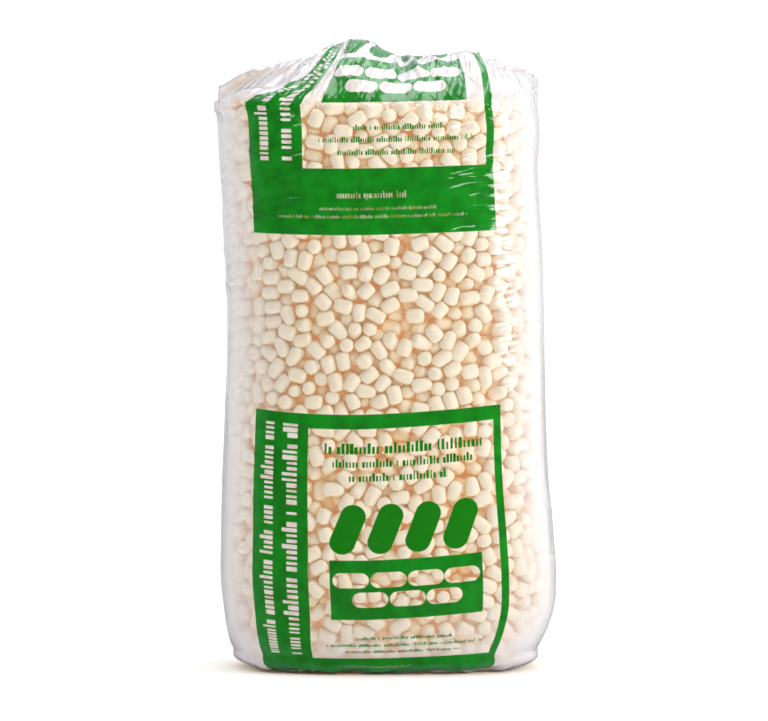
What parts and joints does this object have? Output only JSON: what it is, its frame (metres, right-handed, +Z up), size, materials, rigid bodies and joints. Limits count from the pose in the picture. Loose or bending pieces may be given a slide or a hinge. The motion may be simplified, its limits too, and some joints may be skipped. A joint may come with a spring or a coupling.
{
  "type": "bag of packing peanuts",
  "caption": "Tall clear film bag, filled with loose short-cylinder foam packing peanuts, standing upright with its slack top closed along a ridge.",
  "frame": {"origin": "on the floor, under the middle of the standing bag", "axes": "+Z up along the bag's height, +X to the right seen from the front, -Y out of the printed front"},
  "size_m": [0.714, 0.504, 1.3127],
  "materials": {
    "film": "clear, slightly milky polyethylene film with green print on the front",
    "foam": "cream extruded starch foam, matte, with fine pores"
  },
  "bodies": {
    "root": {"bag_film": "film", "peanut_fill": "foam", "peanut_01": "foam", "peanut_02": "foam", "peanut_03": "foam", "peanut_04": "foam", "peanut_05": "foam", "peanut_06": "foam", "peanut_07": "foam", "peanut_08": "foam", "peanut_09": "foam", "peanut_10": "foam", "peanut_11": "foam", "peanut_12": "foam", "peanut_13": "foam", "peanut_14": "foam", "peanut_15": "foam", "peanut_16": "foam", "peanut_17": "foam", "peanut_18": "foam", "peanut_19": "foam", "peanut_20": "foam", "peanut_21": "foam", "peanut_22": "foam", "peanut_23": "foam", "peanut_24": "foam", "peanut_25": "foam", "peanut_26": "foam", "peanut_27": "foam", "peanut_28": "foam", "peanut_29": "foam", "peanut_30": "foam", "peanut_31": "foam", "peanut_32": "foam", "peanut_33": "foam", "peanut_34": "foam", "peanut_35": "foam", "peanut_36": "foam", "peanut_37": "foam", "peanut_38": "foam", "peanut_39": "foam", "peanut_40": "foam"}
  },
  "joints": []
}
